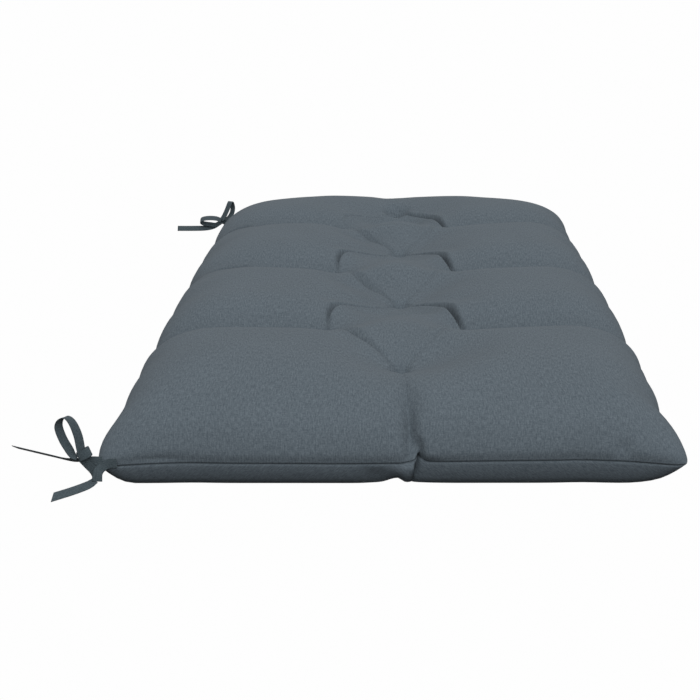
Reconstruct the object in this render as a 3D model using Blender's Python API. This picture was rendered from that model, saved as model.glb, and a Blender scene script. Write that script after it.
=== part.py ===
"""A tufted bench cushion lying on its back, with a tape tie knotted at each corner of its left long side.

Metres, +Z up. X runs across the cushion and Y along it, and the near short end is at -Y. The origin is the
centre of the underside, on the surface that the cushion rests on.
"""

import bmesh
import bpy
import numpy as np
from mathutils import Vector

MM = 0.001

# The cover: two panels sewn together along the outline.
LENGTH = 1.000
WIDTH = 0.500
SEAM_HEIGHT = 0.024
CROWN = 0.066  # how far an untufted crest stands above the seam
SIDE_SHOULDER = 0.092  # distance from a long side at which the top reaches its crown
END_SHOULDER = 0.130  # and from a short end
SIDE_BELLY = 0.030  # distance from a long side at which the underside reaches the floor
END_BELLY = 0.014  # and from a short end
EARS = {"left": 0.024, "right": 0.048}  # distance from a corner within which the underside is still lifted

TOP_SHAPE = (2.5, 2.2)  # powers of the top's curve from seam to crown: its fall and its rise
UNDER_SHAPE = (2.2, 1.7)  # and of the underside's

# The tufts: a column on the centre line, and a pair between each two of them.
BAND = 0.250  # length of one transverse band, from valley to valley
PAIR_OFFSET = 0.073  # distance of a paired tuft from the centre line

# The tape of the ties.
TAPE_WIDTH = 0.0085
TAPE_THICKNESS = 0.0012
TAPE_STATIONS = 5  # cross-sections between two points of a route

# Tufts. The sag is the wide sinking round a tuft and the pit the narrow one at it, both as shares of the
# crown. The dimple is how far the tuft draws up the underside.
TUFTS = (
    # x, y, sag, reach of sag, pit, reach of pit, dimple
    (0.006, -0.375, 0.36, 0.110, 0.62, 0.028, 0.011),
    (0.006, -0.125, 0.36, 0.110, 0.62, 0.028, 0.011),
    (0.006, 0.125, 0.36, 0.110, 0.62, 0.028, 0.011),
    (0.002, 0.375, 0.16, 0.110, 0.58, 0.028, 0.011),
    (-PAIR_OFFSET, -0.250, 0.12, 0.045, 0.56, 0.024, 0.011),
    (-PAIR_OFFSET, 0.000, 0.12, 0.045, 0.56, 0.024, 0.011),
    (-PAIR_OFFSET, 0.250, 0.12, 0.045, 0.56, 0.024, 0.011),
    (PAIR_OFFSET, -0.250, 0.12, 0.040, 0.60, 0.024, 0.011),
    (PAIR_OFFSET, 0.000, 0.12, 0.040, 0.60, 0.024, 0.011),
    (PAIR_OFFSET, 0.250, 0.12, 0.040, 0.58, 0.024, 0.011),
)
SAG_SHARPNESS = 1.7
PIT_SHARPNESS = 1.5

# Creases that run out from a tuft to the seam. The sinks are shares of the crown at the tuft, halfway and
# at the seam, and lift is how far the crease draws up the underside.
OUTER_CREASES = (
    # x0, y0, x1, y1, sink at tuft, sink halfway, sink at seam, reach, lift
    (-PAIR_OFFSET, -0.250, -0.250, -0.250, 0.46, 0.44, 0.38, 0.080, 0.003),
    (-PAIR_OFFSET, 0.000, -0.250, 0.000, 0.46, 0.44, 0.38, 0.080, 0.003),
    (-PAIR_OFFSET, 0.250, -0.250, 0.250, 0.46, 0.42, 0.36, 0.080, 0.003),
    (PAIR_OFFSET, -0.250, 0.250, -0.250, 0.48, 0.46, 0.42, 0.080, 0.003),
    (PAIR_OFFSET, 0.000, 0.250, 0.000, 0.48, 0.46, 0.40, 0.080, 0.003),
    (PAIR_OFFSET, 0.250, 0.250, 0.250, 0.46, 0.42, 0.38, 0.080, 0.003),
    (0.006, -0.375, 0.012, -0.500, 0.30, 0.12, 0.40, 0.036, 0.003),
    (0.002, 0.375, -0.008, 0.500, 0.16, 0.05, 0.06, 0.040, 0.004),
)
CREASE_SHARPNESS = 2.1
DIAMOND_SINKS = (0.34, 0.24, 0.26)  # of a crease at its central tuft, halfway and at its paired tuft
DIAMOND_REACH = 0.022
DIAMOND_LIFT = 0.003
UNDER_REACH = 0.026
UNDER_SHARPNESS = 2.0
JOIN = 3.0  # how firmly two creases that meet keep the deeper one's depth
MOST_SINK = 0.90

# Unevenness of the filling: gentle swells and hollows on the top.
SWELLS = (
    # x, y, radius, rise
    (-0.150, -0.380, 0.080, 0.0015),
    (0.150, -0.370, 0.080, -0.0010),
    (0.160, -0.120, 0.080, 0.0010),
    (-0.150, -0.130, 0.080, -0.0010),
    (-0.150, 0.120, 0.080, 0.0015),
    (0.140, 0.130, 0.080, -0.0010),
    (0.150, 0.400, 0.080, -0.0050),
    (-0.140, 0.400, 0.080, -0.0040),
    (0.000, -0.190, 0.042, -0.0130),
    (0.000, 0.060, 0.042, -0.0125),
    (0.000, 0.310, 0.042, -0.0210),
    (-0.035, -0.085, 0.026, -0.0060),
    (0.035, -0.085, 0.026, -0.0050),
    (-0.035, 0.165, 0.026, -0.0055),
    (0.035, 0.165, 0.026, -0.0045),
    (-0.215, -0.060, 0.035, 0.0060),
    (0.040, -0.365, 0.030, -0.0050),
    (-0.205, 0.450, 0.045, -0.0120),
    (0.205, 0.450, 0.045, -0.0080),
)

# How far each side of the outline is drawn in: bow is the sag between its two corners, and each pinch pulls
# the seam in further at a valley or a pucker.
SIDES = {
    "left": {
        "bow": 0.0025,
        "pinches": (
            # place, pull, half width
            (-0.435, 0.0040, 0.028),
            (-0.360, 0.0040, 0.045),
            (-0.250, 0.0050, 0.026),
            (-0.130, 0.0020, 0.020),
            (0.000, 0.0050, 0.024),
            (0.115, 0.0025, 0.018),
            (0.250, 0.0050, 0.026),
            (0.410, 0.0040, 0.035),
        ),
    },
    "right": {
        "bow": 0.0055,
        "pinches": (
            (-0.440, 0.0085, 0.028),
            (-0.370, 0.0055, 0.045),
            (-0.250, 0.0035, 0.022),
            (-0.160, 0.0045, 0.020),
            (0.000, 0.0040, 0.026),
            (0.120, 0.0050, 0.018),
            (0.250, 0.0040, 0.050),
            (0.420, 0.0060, 0.030),
        ),
    },
    "near": {
        "bow": 0.0000,
        "pinches": ((0.004, 0.0080, 0.014), (-0.170, 0.0010, 0.020), (0.160, 0.0015, 0.020)),
    },
    "far": {
        "bow": 0.0020,
        "pinches": ((-0.008, 0.0070, 0.018), (0.130, 0.0030, 0.020), (-0.120, 0.0030, 0.020)),
    },
}
BOW_SHAPE = 6  # a higher power keeps a bow more even along its side
CORNER_SHAPE = 20  # and this one lets the pinches fade only next to a corner
SEAM_WAVES = (
    # x, y, radius, rise of the seam
    (0.000, -0.500, 0.022, 0.0040),
    (-0.120, -0.500, 0.080, -0.0032),
    (-0.020, -0.500, 0.040, -0.0022),
    (0.140, -0.500, 0.060, 0.0010),
    (0.245, -0.500, 0.024, -0.0050),
    (-0.250, -0.500, 0.020, -0.0030),
    (0.000, 0.500, 0.025, 0.0035),
    (-0.250, -0.250, 0.030, 0.0015),
    (-0.250, 0.000, 0.030, 0.0015),
    (0.250, -0.250, 0.030, 0.0015),
    (0.250, 0.000, 0.030, 0.0015),
)

# The mesh of the cover: distances from the seam at which it has a line of points, up to the paired tufts,
# and the number of cells from there to the centre line. Rows are even along Y, but for those at the ends.
EDGE_LINES = (0.0, 0.003, 0.009, 0.018, 0.030, 0.045, 0.062, 0.081, 0.101, 0.122, 0.143, 0.161, 0.177)
INNER_CELLS = 8
BAND_CELLS = 16
END_LINES = (0.003, 0.008)

# The ties. Each route is a strand of tape, as points from its corner of the seam, with the height taken
# from the floor, and the direction across the tape. All in millimetres.
NEAR_TIE = {
    "sewn_end": (
        # x, y, z, across x, across y, across z
        (17.0, -1.0, 23.2, 0.00, 0.00, 1.00),
        (10.0, -1.1, 22.8, -0.05, 0.00, 1.00),
        (4.6, -3.6, 20.6, -0.55, 0.00, 0.80),
        (1.6, -6.6, 16.6, -0.90, -0.05, 0.35),
        (1.2, -8.4, 9.8, -1.00, -0.05, 0.05),
    ),
    "strap": (
        (0.6, -4.8, 12.8, 0.80, -0.10, 0.55),
        (-2.8, -4.6, 18.0, 0.80, -0.10, 0.55),
        (-6.3, -5.0, 23.6, 0.80, -0.10, 0.55),
        (-10.5, -5.6, 29.0, 0.80, -0.10, 0.55),
    ),
    "neck": (
        (5.2, -2.8, 25.6, 0.00, 0.10, 1.00),
        (-0.8, -3.8, 26.4, 0.10, 0.00, 1.00),
        (-6.8, -4.8, 27.6, 0.20, -0.30, 0.90),
        (-13.0, -5.6, 29.4, 0.30, -0.50, 0.80),
    ),
    "bow_up": (
        (-14.8, -6.0, 30.0, -0.50, -0.85, 0.10),
        (-18.2, -6.0, 32.2, -0.50, -0.85, 0.10),
        (-21.0, -6.0, 37.6, -0.50, -0.85, 0.10),
        (-25.8, -6.0, 47.0, -0.50, -0.85, 0.10),
        (-28.6, -6.2, 57.0, -0.45, -0.88, 0.10),
        (-26.6, -6.3, 63.0, -0.30, -0.94, 0.10),
        (-21.8, -6.4, 64.6, -0.30, -0.94, 0.10),
        (-18.0, -6.4, 60.2, -0.35, -0.92, 0.05),
        (-15.2, -6.2, 50.0, -0.50, -0.85, 0.05),
        (-12.8, -6.0, 38.0, -0.50, -0.85, 0.10),
        (-10.6, -6.0, 31.2, -0.50, -0.85, 0.10),
    ),
    "bow_short": (
        (-13.5, -8.0, 31.4, 0.32, -0.10, -0.93),
        (-9.4, -9.2, 33.4, 0.36, -0.10, -0.93),
        (-5.4, -8.6, 35.6, 0.40, -0.10, -0.92),
        (-3.6, -6.2, 36.6, 0.40, -0.10, -0.92),
        (-5.2, -3.8, 35.4, 0.40, -0.10, -0.92),
        (-9.2, -3.2, 32.8, 0.36, -0.10, -0.93),
        (-13.0, -4.6, 30.2, 0.32, -0.10, -0.93),
    ),
    "long_tail": (
        (-12.5, -5.2, 28.4, 0.70, 0.56, -0.44),
        (-24.0, 5.5, 24.0, 0.70, 0.56, -0.44),
        (-46.0, 34.0, 17.0, 0.70, 0.56, -0.44),
        (-69.0, 62.5, 10.4, 0.70, 0.56, -0.44),
        (-92.6, 91.0, 4.0, 0.70, 0.56, -0.44),
    ),
    "lower_tail": (
        (-0.6, -6.8, 10.4, -0.05, 0.92, 0.38),
        (-3.6, -8.6, 8.4, -0.05, 0.92, 0.38),
        (-8.0, -11.4, 6.8, -0.05, 0.92, 0.38),
        (-18.0, -18.0, 4.6, -0.05, 0.92, 0.38),
        (-32.7, -27.4, 2.5, -0.05, 0.92, 0.38),
    ),
}
FAR_TIE = {
    "sewn_end": (
        (17.0, 0.6, 24.2, 0.00, 0.00, 1.00),
        (8.0, 0.9, 24.4, 0.00, 0.00, 1.00),
        (0.0, 2.6, 26.4, 0.10, 0.00, 1.00),
        (-6.0, 2.8, 29.4, 0.35, -0.25, 0.90),
        (-11.0, 2.0, 32.0, 0.40, -0.50, 0.80),
    ),
    "bow_left": (
        (-11.5, 1.5, 32.6, 0.00, -0.77, -0.64),
        (-18.0, -1.5, 35.8, 0.00, -0.77, -0.64),
        (-29.0, -2.9, 36.7, 0.00, -0.77, -0.64),
        (-38.6, -1.5, 34.8, 0.00, -0.77, -0.64),
        (-42.0, 2.0, 30.8, 0.00, -0.77, -0.64),
        (-37.6, 5.2, 27.0, 0.00, -0.77, -0.64),
        (-28.0, 6.6, 25.2, 0.00, -0.77, -0.64),
        (-19.0, 7.0, 24.4, 0.00, -0.77, -0.64),
        (-11.0, 4.4, 28.8, 0.00, -0.77, -0.64),
    ),
    "bow_up": (
        (-10.6, 2.0, 32.8, 0.86, -0.50, 0.10),
        (-6.4, 1.8, 38.4, 0.86, -0.50, 0.10),
        (-1.0, 1.6, 49.6, 0.86, -0.50, 0.10),
        (2.2, 1.8, 57.4, 0.88, -0.46, 0.05),
        (3.8, 4.2, 60.4, 0.90, -0.42, 0.00),
        (5.2, 8.0, 57.4, 0.88, -0.46, -0.05),
        (6.2, 9.6, 50.4, 0.86, -0.50, -0.05),
        (5.0, 9.4, 43.0, 0.86, -0.50, 0.00),
        (1.6, 8.4, 37.0, 0.86, -0.50, 0.00),
        (-4.0, 6.4, 32.8, 0.80, -0.58, 0.00),
        (-9.6, 4.6, 31.2, 0.80, -0.58, 0.00),
    ),
    "tail": (
        (-10.0, 4.6, 30.4, 0.00, 0.60, 0.80),
        (-16.0, 7.6, 26.0, 0.00, 0.60, 0.80),
        (-24.0, 7.6, 21.8, 0.00, 0.60, 0.80),
        (-36.0, 5.0, 19.9, 0.00, 0.60, 0.80),
        (-54.0, 4.0, 19.6, 0.00, 0.60, 0.80),
        (-77.0, 4.0, 19.6, 0.00, 0.60, 0.80),
    ),
}
KNOTS = {
    # centre from the corner and radii, in millimetres
    "near": ((-12.4, -5.8, 29.8), (4.4, 4.4, 6.4)),
    "far": ((-10.6, 3.0, 31.8), (4.6, 4.4, 5.4)),
}


def clear_scene():
    for obj in list(bpy.data.objects):
        bpy.data.objects.remove(obj, do_unlink=True)


def make_material(name, colour, roughness):
    """A cloth: a matt Principled surface of one colour."""
    material = bpy.data.materials.new(name)
    material.use_nodes = True
    shader = material.node_tree.nodes["Principled BSDF"]
    shader.inputs["Base Color"].default_value = (*colour, 1.0)
    shader.inputs["Roughness"].default_value = roughness
    shader.inputs["Metallic"].default_value = 0.0
    return material


def shoulder(distance, reach, fall, rise):
    """Rise from 0 at the seam to 1 at reach: a superellipse, upright at the seam and level at reach."""
    left = 1.0 - np.clip(distance / reach, 0.0, 1.0)
    return (1.0 - left**fall) ** (1.0 / rise)


def hollow(distance, reach, sharpness):
    """1 on the line of a crease and 0 past its reach, with a sharp bottom and round shoulders."""
    return (1.0 - np.clip(distance / reach, 0.0, 1.0)) ** sharpness


def along_crease(x, y, crease):
    """Distance of each point from a crease's line, and where along the line its nearest point lies."""
    x0, y0, x1, y1 = crease[:4]
    run_x, run_y = x1 - x0, y1 - y0
    share = ((x - x0) * run_x + (y - y0) * run_y) / (run_x**2 + run_y**2)
    share = np.clip(share, 0.0, 1.0)
    return np.hypot(x - x0 - share * run_x, y - y0 - share * run_y), share


def diamond_creases():
    """The creases between each central tuft and the paired tufts beside it."""
    rows = []
    for cx, cy, *_ in TUFTS[:4]:
        for px, py, *_ in TUFTS[4:]:
            if abs(px) == PAIR_OFFSET and abs(abs(cy - py) - BAND / 2) < 1e-6:
                rows.append((cx, cy, px, py, *DIAMOND_SINKS, DIAMOND_REACH, DIAMOND_LIFT))
    return tuple(rows)


def bell(x, y, table):
    """The sum of round swells, each with its place, radius and rise."""
    total = np.zeros_like(x)
    for sx, sy, radius, rise in table:
        total += rise * np.exp(-((x - sx) ** 2 + (y - sy) ** 2) / (2.0 * radius**2))
    return total


def sunk_share(x, y):
    """Share of the crown that the tufts and creases take away at each point of the top."""
    total = np.zeros_like(x)
    for crease in OUTER_CREASES + diamond_creases():
        distance, share = along_crease(x, y, crease)
        start, middle, end, reach = crease[4:8]
        depth = start + share * (4 * middle - 3 * start - end) + share**2 * (2 * start + 2 * end - 4 * middle)
        total += (depth * hollow(distance, reach, CREASE_SHARPNESS)) ** JOIN
    for tx, ty, sag, sag_reach, pit, pit_reach, _ in TUFTS:
        distance = np.hypot(x - tx, y - ty)
        total += (sag * hollow(distance, sag_reach, SAG_SHARPNESS)) ** JOIN
        total += (pit * hollow(distance, pit_reach, PIT_SHARPNESS)) ** JOIN
    return np.minimum(total ** (1.0 / JOIN), MOST_SINK)


def under_lift(x, y):
    """How far the tufts and creases draw the underside up from the floor."""
    total = np.zeros_like(x)
    for crease in OUTER_CREASES + diamond_creases():
        distance, _ = along_crease(x, y, crease)
        total += (crease[8] * hollow(distance, UNDER_REACH, UNDER_SHARPNESS)) ** JOIN
    for tx, ty, *_, dimple in TUFTS:
        distance = np.hypot(x - tx, y - ty)
        total += (dimple * hollow(distance, UNDER_REACH, UNDER_SHARPNESS)) ** JOIN
    return total ** (1.0 / JOIN)


def drawn_in(place, half_length, side):
    """How far one side of the outline is pulled in at each place along it, and nothing at its corners."""
    share = place / half_length
    pull = SIDES[side]["bow"] * (1.0 - share**BOW_SHAPE)
    for pinch, depth, half_width in SIDES[side]["pinches"]:
        pull = pull + depth * np.exp(-(((place - pinch) / half_width) ** 2))
    return pull * (1.0 - share**CORNER_SHAPE)


def plan(u, v):
    """Place in plan of the point at u across and v along, both from -1 to 1 between the seams."""
    along, across = v * LENGTH / 2, u * WIDTH / 2
    side = np.where(u < 0, drawn_in(along, LENGTH / 2, "left"), drawn_in(along, LENGTH / 2, "right"))
    end = np.where(v < 0, drawn_in(across, WIDTH / 2, "near"), drawn_in(across, WIDTH / 2, "far"))
    return u * (WIDTH / 2 - side), v * (LENGTH / 2 - end)


def cover_heights(u, v):
    """Plan and the heights of the top and of the underside at each point."""
    x, y = plan(u, v)
    from_side = (1.0 - np.abs(u)) * WIDTH / 2
    from_end = (1.0 - np.abs(v)) * LENGTH / 2
    seam = SEAM_HEIGHT + bell(x, y, SEAM_WAVES)
    crown = shoulder(from_side, SIDE_SHOULDER, *TOP_SHAPE) * shoulder(from_end, END_SHOULDER, *TOP_SHAPE)
    top = seam + (CROWN + bell(x, y, SWELLS)) * crown * (1.0 - sunk_share(x, y))
    belly = shoulder(from_side, SIDE_BELLY, *UNDER_SHAPE) * shoulder(from_end, END_BELLY, *UNDER_SHAPE)
    ear = np.where(u < 0, EARS["left"], EARS["right"])
    belly *= shoulder(np.hypot(from_side, from_end), ear, *UNDER_SHAPE)
    under = seam * (1.0 - belly) + under_lift(x, y) * belly
    return x, y, top, under


def mesh_lines():
    """The lines of points across and along the cover, as shares from -1 to 1."""
    inner = np.linspace(0.0, PAIR_OFFSET, INNER_CELLS + 1)[:-1]
    outer = WIDTH / 2 - np.array(EDGE_LINES[::-1])
    half = np.concatenate([inner, outer]) / (WIDTH / 2)
    across = np.concatenate([-half[:0:-1], half])
    rows = np.linspace(-LENGTH / 2, LENGTH / 2, int(round(LENGTH / BAND)) * BAND_CELLS + 1)
    ends = LENGTH / 2 - np.array(END_LINES)
    along = np.sort(np.concatenate([rows, ends, -ends])) / (LENGTH / 2)
    return across, along


def crease_rises(x, y):
    """True where the nearest crease between a central and a paired tuft climbs along +Y as X grows."""
    towards_pair = np.floor((y + LENGTH / 2) / (BAND / 2)) % 2 == 1
    return towards_pair == (x > 0)


def cover_mesh(mesh):
    """Two grids of points, top and underside, that share the points of the seam."""
    across, along = mesh_lines()
    u, v = np.meshgrid(across, along, indexing="ij")
    x, y, top, under = cover_heights(u, v)
    count_u, count_v = u.shape
    top_index = np.arange(count_u * count_v).reshape(count_u, count_v)
    under_index = top_index.copy()
    inside = np.zeros(u.shape, dtype=bool)
    inside[1:-1, 1:-1] = True
    under_index[inside] = count_u * count_v + np.arange(inside.sum())
    points = np.concatenate(
        [np.stack([x, y, top], -1).reshape(-1, 3), np.stack([x[inside], y[inside], under[inside]], -1)]
    )
    faces = []
    for index, outward in ((top_index, True), (under_index, False)):
        for i in range(count_u - 1):
            for j in range(count_v - 1):
                a, b, c, d = index[i, j], index[i + 1, j], index[i + 1, j + 1], index[i, j + 1]
                middle_x = (x[i, j] + x[i + 1, j + 1]) / 2
                middle_y = (y[i, j] + y[i + 1, j + 1]) / 2
                halves = ((a, b, c), (a, c, d)) if crease_rises(middle_x, middle_y) else ((a, b, d), (b, c, d))
                faces += [half if outward else half[::-1] for half in halves]
    mesh.from_pydata(points.tolist(), [], [tuple(int(n) for n in face) for face in faces])


def merge_floor_faces(mesh):
    """Join the level faces that rest on the floor into a few large ones."""
    bm = bmesh.new()
    bm.from_mesh(mesh)
    resting = {face for face in bm.faces if all(abs(vert.co.z) < 1e-7 for vert in face.verts)}
    edges = [edge for edge in bm.edges if all(face in resting for face in edge.link_faces)]
    verts = [vert for vert in bm.verts if all(face in resting for face in vert.link_faces)]
    bmesh.ops.dissolve_limit(bm, angle_limit=0.001, verts=verts, edges=edges)
    bmesh.ops.triangulate(bm, faces=[face for face in bm.faces if len(face.verts) > 3])
    bm.to_mesh(mesh)
    bm.free()


def add_object(name, mesh, material):
    mesh.materials.append(material)
    obj = bpy.data.objects.new(name, mesh)
    bpy.context.scene.collection.objects.link(obj)
    return obj


def build_cushion(material):
    mesh = bpy.data.meshes.new("cushion")
    cover_mesh(mesh)
    merge_floor_faces(mesh)
    mesh.update()
    cushion = add_object("cushion", mesh, material)
    mesh.shade_smooth()
    return cushion


def smooth_route(rows):
    """Points and directions across along a Catmull-Rom curve through the rows of a route."""
    values = np.array(rows)
    values[:, :3] *= MM
    padded = np.concatenate([[2 * values[0] - values[1]], values, [2 * values[-1] - values[-2]]])
    found = []
    for before, start, end, after in zip(padded, padded[1:], padded[2:], padded[3:]):
        for t in np.arange(TAPE_STATIONS) / TAPE_STATIONS:
            pull = (-(t**3) + 2 * t**2 - t) * before + (t**3 - t**2) * after
            hold = (3 * t**3 - 5 * t**2 + 2) * start + (-3 * t**3 + 4 * t**2 + t) * end
            found.append((pull + hold) / 2)
    found.append(values[-1])
    return np.array(found)


def tape_mesh(mesh, rows, corner):
    """A flat tape swept along a route: four points at each station, and a cap at each end."""
    found = smooth_route(rows)
    centres = found[:, :3]
    runs = np.gradient(centres, axis=0)
    runs /= np.linalg.norm(runs, axis=1, keepdims=True)
    across = found[:, 3:] - (found[:, 3:] * runs).sum(axis=1, keepdims=True) * runs
    across /= np.linalg.norm(across, axis=1, keepdims=True)
    face = np.cross(runs, across)
    half_width, half_thickness = across * TAPE_WIDTH / 2, face * TAPE_THICKNESS / 2
    ring = (
        -half_width - half_thickness,
        half_width - half_thickness,
        half_width + half_thickness,
        -half_width + half_thickness,
    )
    points = np.stack([centres + offset + np.array([*corner, 0.0]) for offset in ring], axis=1)
    stations = len(centres)
    faces = [(3, 2, 1, 0), tuple(4 * (stations - 1) + n for n in (0, 1, 2, 3))]
    for station in range(stations - 1):
        for n in range(4):
            here, there = 4 * station + n, 4 * station + (n + 1) % 4
            faces.append((here, there, there + 4, here + 4))
    mesh.from_pydata(points.reshape(-1, 3).tolist(), [], faces)


def hide_helper(obj):
    obj.hide_render = True
    obj.display_type = "WIRE"


def knot_mesh(mesh, corner, knot):
    """The knot's lump: a ball stretched to the knot's radii."""
    centre, radii = knot
    bm = bmesh.new()
    bmesh.ops.create_icosphere(bm, subdivisions=2, radius=1.0)
    for vert in bm.verts:
        place = [vert.co[n] * radii[n] * MM + centre[n] * MM for n in range(3)]
        vert.co = Vector(place) + Vector((*corner, 0.0))
    bm.to_mesh(mesh)
    bm.free()


def build_tie(name, corner, routes, knot, material):
    """The knot joined with every strand of the tie, as one solid."""
    mesh = bpy.data.meshes.new(name)
    knot_mesh(mesh, corner, knot)
    tie = add_object(name, mesh, material)
    for strand, rows in routes.items():
        tape = bpy.data.meshes.new(name + "_" + strand)
        tape_mesh(tape, rows, corner)
        helper = add_object(tape.name, tape, material)
        hide_helper(helper)
        join = tie.modifiers.new(strand, "BOOLEAN")
        join.operation = "UNION"
        join.solver = "EXACT"
        join.object = helper
    return tie


def main():
    clear_scene()
    cloth = make_material("woven_cover", (0.118, 0.142, 0.162), 0.92)
    tape = make_material("woven_tape", (0.075, 0.100, 0.115), 0.85)
    build_cushion(cloth)
    build_tie("tie_near", (-WIDTH / 2, -LENGTH / 2), NEAR_TIE, KNOTS["near"], tape)
    build_tie("tie_far", (-WIDTH / 2, LENGTH / 2), FAR_TIE, KNOTS["far"], tape)


main()
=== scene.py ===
# %% [markdown]
# # A tufted bench cushion with two tape ties
#
# The real cushion is a bag of blue-grey woven polyester, 100 x 50 cm, filled with soft fibre. Thread pulled
# through the filling draws the top down at ten tufts, which cuts it into pillows with soft valleys between
# them. A narrow tape is sewn into each corner of the left long side and knotted in a bow.
#
# The lesson keeps the solids of the part as a fixed frame and lays a finer cloth surface over each of them:
# first the cover and its cloth, then the ties and theirs, and at the end the studio. Lengths are in metres,
# but for the routes of the ties.

import bpy
import math
import numpy as np
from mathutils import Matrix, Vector


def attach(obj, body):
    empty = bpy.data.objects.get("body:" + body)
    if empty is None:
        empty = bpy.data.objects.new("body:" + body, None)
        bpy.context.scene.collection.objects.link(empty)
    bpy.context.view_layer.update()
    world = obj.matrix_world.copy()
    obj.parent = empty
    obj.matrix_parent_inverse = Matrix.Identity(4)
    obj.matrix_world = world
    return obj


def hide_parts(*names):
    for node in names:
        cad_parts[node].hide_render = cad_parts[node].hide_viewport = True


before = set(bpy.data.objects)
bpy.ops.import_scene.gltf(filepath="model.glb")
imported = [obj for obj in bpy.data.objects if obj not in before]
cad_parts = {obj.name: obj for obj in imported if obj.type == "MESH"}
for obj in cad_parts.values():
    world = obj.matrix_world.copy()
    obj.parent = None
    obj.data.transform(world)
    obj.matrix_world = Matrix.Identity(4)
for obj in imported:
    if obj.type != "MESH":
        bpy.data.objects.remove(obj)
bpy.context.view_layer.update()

# %% [markdown]
# ## The camera
#
# The photograph looks along the cushion from one short end, 16.3 degrees downwards, through a fairly long
# lens, so the far end is a little over half as wide as the near one. The lens is a little off the middle of
# the frame, which a small shift of the camera gives back.

# %% The camera
PICTURE = 700  # the frame's width and height in pixels
FOCAL = 1456.0  # focal length in those pixels
OFF_MIDDLE = 47.0  # how many of them the lens's axis lies right of the middle
PITCH = 16.3  # degrees down
EYE = (0.003, -1.651, 0.459)

camera_data = bpy.data.cameras.new("camera")
camera_data.sensor_width = 36.0
camera_data.lens = FOCAL / PICTURE * camera_data.sensor_width
camera_data.shift_x = -OFF_MIDDLE / PICTURE
camera_data.clip_start = 0.05
camera = bpy.data.objects.new("camera", camera_data)
camera.location = EYE
camera.rotation_euler = (math.radians(90.0 - PITCH), 0.0, 0.0)
bpy.context.scene.collection.objects.link(camera)
bpy.context.scene.camera = camera
bpy.context.scene.view_settings.view_transform = "Standard"
print("lens", round(camera_data.lens, 1), "mm")

# %% [markdown]
# ## The sizes of the cover
#
# The cover is two panels of cloth sewn together along the outline. Its form comes from few things: how high
# an untufted crest would stand, how quickly the top rises from the seam, and how much each tuft and each
# valley takes away from that height. They are the named sizes of the solid, with more folds and creases.

# %% The sizes of the cover
MM = 0.001
LENGTH = 1.000
WIDTH = 0.500
SEAM_HEIGHT = 0.024
CROWN = 0.066  # how far an untufted crest stands above the seam
SIDE_SHOULDER = 0.092  # distance from a long side at which the top reaches its crown
END_SHOULDER = 0.130  # and from a short end
SIDE_BELLY = 0.030  # distance from a long side at which the underside reaches the floor
END_BELLY = 0.014  # and from a short end
EARS = {"left": 0.034, "right": 0.058}  # distance from a corner within which the underside is still lifted
TOP_SHAPE = (2.5, 2.2)  # powers of the top's curve from seam to crown: its fall and its rise
UNDER_SHAPE = (2.2, 1.7)  # and of the underside's
BAND = 0.250  # length of one transverse band, from valley to valley
PAIR_LEFT, PAIR_RIGHT = -0.070, 0.076  # where the paired tufts sit across

# %% The tufts and the creases
TUFTS = (
    # x, y, sag, reach of sag, pit, reach of pit, dimple under it
    (0.006, -0.375, 0.36, 0.110, 0.56, 0.020, 0.011),
    (0.006, -0.125, 0.36, 0.110, 0.60, 0.024, 0.011),
    (0.006, 0.125, 0.36, 0.110, 0.60, 0.024, 0.011),
    (0.002, 0.375, 0.16, 0.110, 0.58, 0.028, 0.011),
    (PAIR_LEFT, -0.250, 0.12, 0.045, 0.54, 0.020, 0.011),
    (PAIR_LEFT, 0.000, 0.12, 0.045, 0.54, 0.020, 0.011),
    (PAIR_LEFT, 0.250, 0.12, 0.045, 0.54, 0.020, 0.011),
    (PAIR_RIGHT, -0.250, 0.12, 0.040, 0.60, 0.011, 0.011),
    (PAIR_RIGHT, 0.000, 0.12, 0.040, 0.60, 0.011, 0.011),
    (PAIR_RIGHT, 0.250, 0.12, 0.040, 0.58, 0.011, 0.011),
)
OUTER_CREASES = (
    # x0, y0, x1, y1, bow, skew, sinks at tuft, halfway and at seam, reach, sharpness, lift of the underside
    (PAIR_LEFT, -0.250, -0.250, -0.250, 0.0, 1.0, 0.46, 0.44, 0.38, 0.080, 2.1, 0.003),
    (PAIR_LEFT, 0.000, -0.250, 0.000, 0.0, 1.0, 0.46, 0.26, 0.06, 0.080, 2.1, 0.003),
    (PAIR_LEFT, 0.250, -0.250, 0.250, 0.0, 1.0, 0.46, 0.26, 0.06, 0.080, 2.1, 0.003),
    (PAIR_RIGHT, -0.250, 0.250, -0.228, 0.0, 1.0, 0.48, 0.46, 0.42, 0.080, 2.1, 0.003),
    (PAIR_RIGHT, 0.000, 0.250, 0.020, 0.0, 1.0, 0.48, 0.46, 0.40, 0.080, 2.1, 0.003),
    (PAIR_RIGHT, 0.250, 0.250, 0.285, 0.0, 1.0, 0.46, 0.34, 0.26, 0.080, 2.1, 0.003),
    (-0.170, 0.002, -0.214, -0.004, 0.0, 1.0, 0.10, 0.32, 0.14, 0.007, 1.2, 0.000),
    (-0.194, 0.252, -0.228, 0.246, 0.0, 1.0, 0.10, 0.32, 0.14, 0.007, 1.2, 0.000),
    (0.182, 0.270, 0.211, 0.279, 0.0, 1.0, 0.10, 0.32, 0.14, 0.007, 1.2, 0.000),
    (0.186, -0.238, 0.219, -0.228, 0.0, 1.0, 0.10, 0.36, 0.14, 0.008, 1.2, 0.000),
    (0.006, -0.375, 0.014, -0.500, 0.0, 1.0, 0.30, 0.16, 0.44, 0.024, 2.1, 0.0008),
    (0.002, 0.375, -0.008, 0.500, 0.0, 1.0, 0.16, 0.05, 0.06, 0.040, 2.1, 0.004),
)
VALLEYS = OUTER_CREASES[:6]  # the valleys between the bands
CRIMPS = OUTER_CREASES[6:10]  # the short narrow creases at their outer ends
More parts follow.
